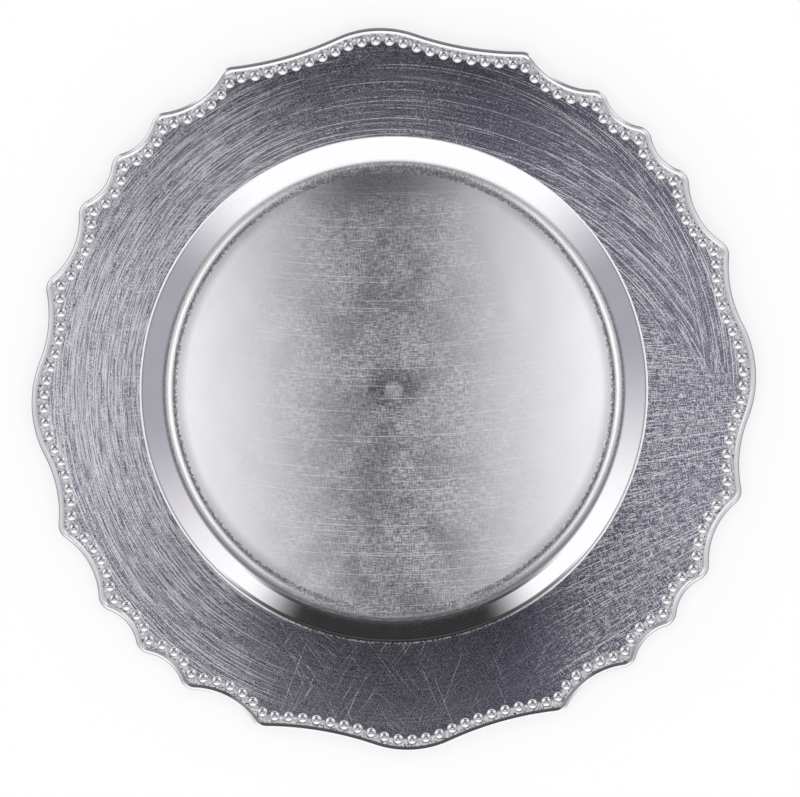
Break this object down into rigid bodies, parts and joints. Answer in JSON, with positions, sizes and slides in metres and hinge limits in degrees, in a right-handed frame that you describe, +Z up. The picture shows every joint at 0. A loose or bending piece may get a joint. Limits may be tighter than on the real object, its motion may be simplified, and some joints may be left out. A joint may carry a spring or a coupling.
{
  "type": "charger plate",
  "caption": "Round charger plate with a scalloped beaded border, a wide sloping rim and a shallow flat well, a dark moulded body under brushed silver leaf.",
  "frame": {"origin": "middle of the plane that the foot ring stands on, under the centre of the plate", "axes": "+Z up out of the well; +X through a side lobe of the outline, +Y through an end lobe"},
  "size_m": [0.33, 0.33, 0.0168],
  "materials": {
    "moulding": "satin",
    "well_finish": "brushed straight",
    "wall_finish": "bright",
    "rim_finish": "brushed round",
    "border_finish": "bright",
    "bead_finish": "bright"
  },
  "bodies": {
    "root": {"plate_body": "moulding", "well_leaf": "well_finish", "wall_leaf": "wall_finish", "rim_leaf": "rim_finish", "border_leaf": "border_finish", "bead_row": "bead_finish"}
  },
  "joints": []
}
